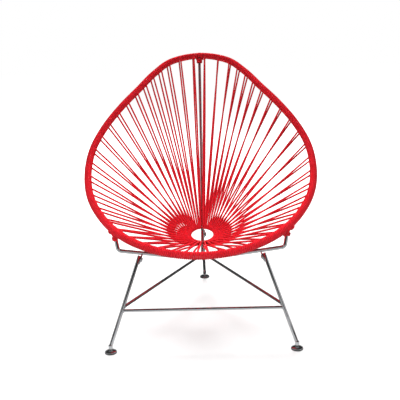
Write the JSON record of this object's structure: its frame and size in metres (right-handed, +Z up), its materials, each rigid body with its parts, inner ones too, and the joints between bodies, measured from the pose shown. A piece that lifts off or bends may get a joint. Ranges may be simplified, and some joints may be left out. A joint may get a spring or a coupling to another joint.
{
  "type": "acapulco chair",
  "caption": "Low lounge chair: a pear-shaped steel rim wound with cord, cord strung from rim to a small ring as a bowl seat, and a bolted rod base on tilting glides.",
  "frame": {"origin": "middle of the floor rectangle that the whole chair covers, on the floor", "axes": "+Z up, the sitter faces -Y, +X is to the left of the sitter, X = 0 is the mirror plane"},
  "size_m": [0.7984, 0.9422, 0.8882],
  "materials": {
    "chrome": "polished",
    "red_cord": "satin",
    "black_pad": "matte"
  },
  "bodies": {
    "root": {"cord_lashing_left": "red_cord", "cord_lashing_right": "red_cord", "cord_lashing_top": "red_cord", "cross_bar": "chrome", "front_leg_left": "chrome", "front_leg_right": "chrome", "front_stretcher": "chrome", "glide_stud_left": "chrome", "glide_stud_rear": "chrome", "glide_stud_right": "chrome", "leg_bolt_left": "chrome", "leg_bolt_rear": "chrome", "leg_bolt_right": "chrome", "leg_tab_left": "chrome", "leg_tab_rear": "chrome", "leg_tab_right": "chrome", "rear_leg": "chrome", "rim_rod": "chrome", "seat_cord_left_1": "red_cord", "seat_cord_left_2": "red_cord", "seat_cord_left_3": "red_cord", "seat_cord_left_4": "red_cord", "seat_cord_left_5": "red_cord", "seat_cord_left_6": "red_cord", "seat_cord_right_1": "red_cord", "seat_cord_right_2": "red_cord", "seat_cord_right_3": "red_cord", "seat_cord_right_4": "red_cord", "seat_cord_right_5": "red_cord", "seat_cord_right_6": "red_cord", "seat_ring": "chrome", "side_stretcher_left": "chrome", "side_stretcher_right": "chrome", "spine_rod": "chrome"},
    "glide_left": {"glide_pad_left": "black_pad", "glide_cup_left": "chrome"},
    "glide_right": {"glide_pad_right": "black_pad", "glide_cup_right": "chrome"},
    "glide_rear": {"glide_pad_rear": "black_pad", "glide_cup_rear": "chrome"}
  },
  "joints": [
    {"name": "glide_tilt_left", "type": "hinge", "parent": "root", "child": "glide_left", "pos_m": [-0.289, -0.45205, 0.0085], "axis": [0.7191, -0.695, 0], "range_deg": [-12, 12]},
    {"name": "glide_tilt_right", "type": "hinge", "parent": "root", "child": "glide_right", "pos_m": [0.289, -0.45205, 0.0085], "axis": [0.7191, 0.695, 0], "range_deg": [-12, 12]},
    {"name": "glide_tilt_rear", "type": "hinge", "parent": "root", "child": "glide_rear", "pos_m": [0, 0.21595, 0.0085], "axis": [1, 0, 0], "range_deg": [-12, 12]}
  ]
}
